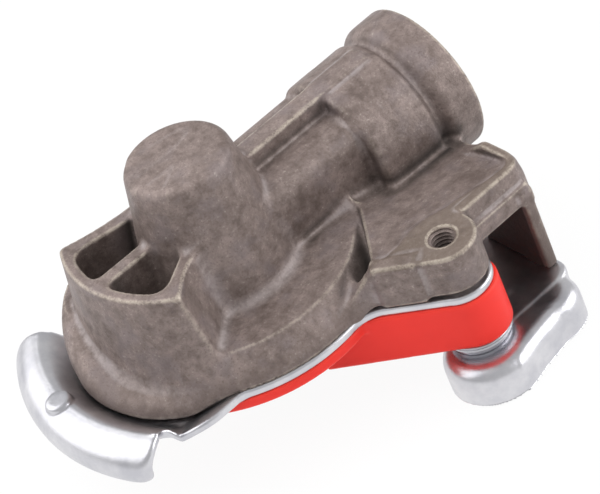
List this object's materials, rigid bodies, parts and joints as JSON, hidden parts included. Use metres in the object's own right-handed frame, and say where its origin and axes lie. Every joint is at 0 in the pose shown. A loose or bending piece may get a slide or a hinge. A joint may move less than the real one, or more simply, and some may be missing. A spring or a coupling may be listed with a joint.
{
  "type": "air brake palm coupling",
  "caption": "Palm coupling for an air brake hose: cast body with side port, pressed claw and hook, red stop rail, face seal and sprung shut-off valve.",
  "frame": {"origin": "centre of the seal face, in the plane where two couplings meet", "axes": "+Z along the seal axis into the body, +X out of the hose port, the arm with the lug lies towards -Y"},
  "size_m": [0.1158, 0.0919, 0.0649],
  "materials": {
    "casting": "raw die casting, dull and mottled",
    "zinc_plate": "bright zinc plated sheet",
    "red_rail": "satin moulded plastic",
    "steel": "plain zinc plated steel",
    "seal_rubber": "matt moulded rubber",
    "valve_plastic": "natural moulded plastic"
  },
  "bodies": {
    "coupling_body": {"body_casting": "casting", "guide_plate": "zinc_plate", "guide_rail": "red_rail", "hook_plate": "zinc_plate", "spacer_ring": "zinc_plate", "lock_washer": "steel", "hook_bolt": "steel", "plate_screws": "steel", "face_seal": "seal_rubber", "valve_spring": "steel"},
    "valve": {"valve_plunger": "valve_plastic"}
  },
  "joints": [
    {"name": "valve_slide", "type": "slide", "parent": "coupling_body", "child": "valve", "axis": [0, 0, 1], "range_m": [0, 0.0045], "stiffness_N_per_m": 1500, "springref_m": -0.006, "deforming": ["valve_spring"]}
  ]
}
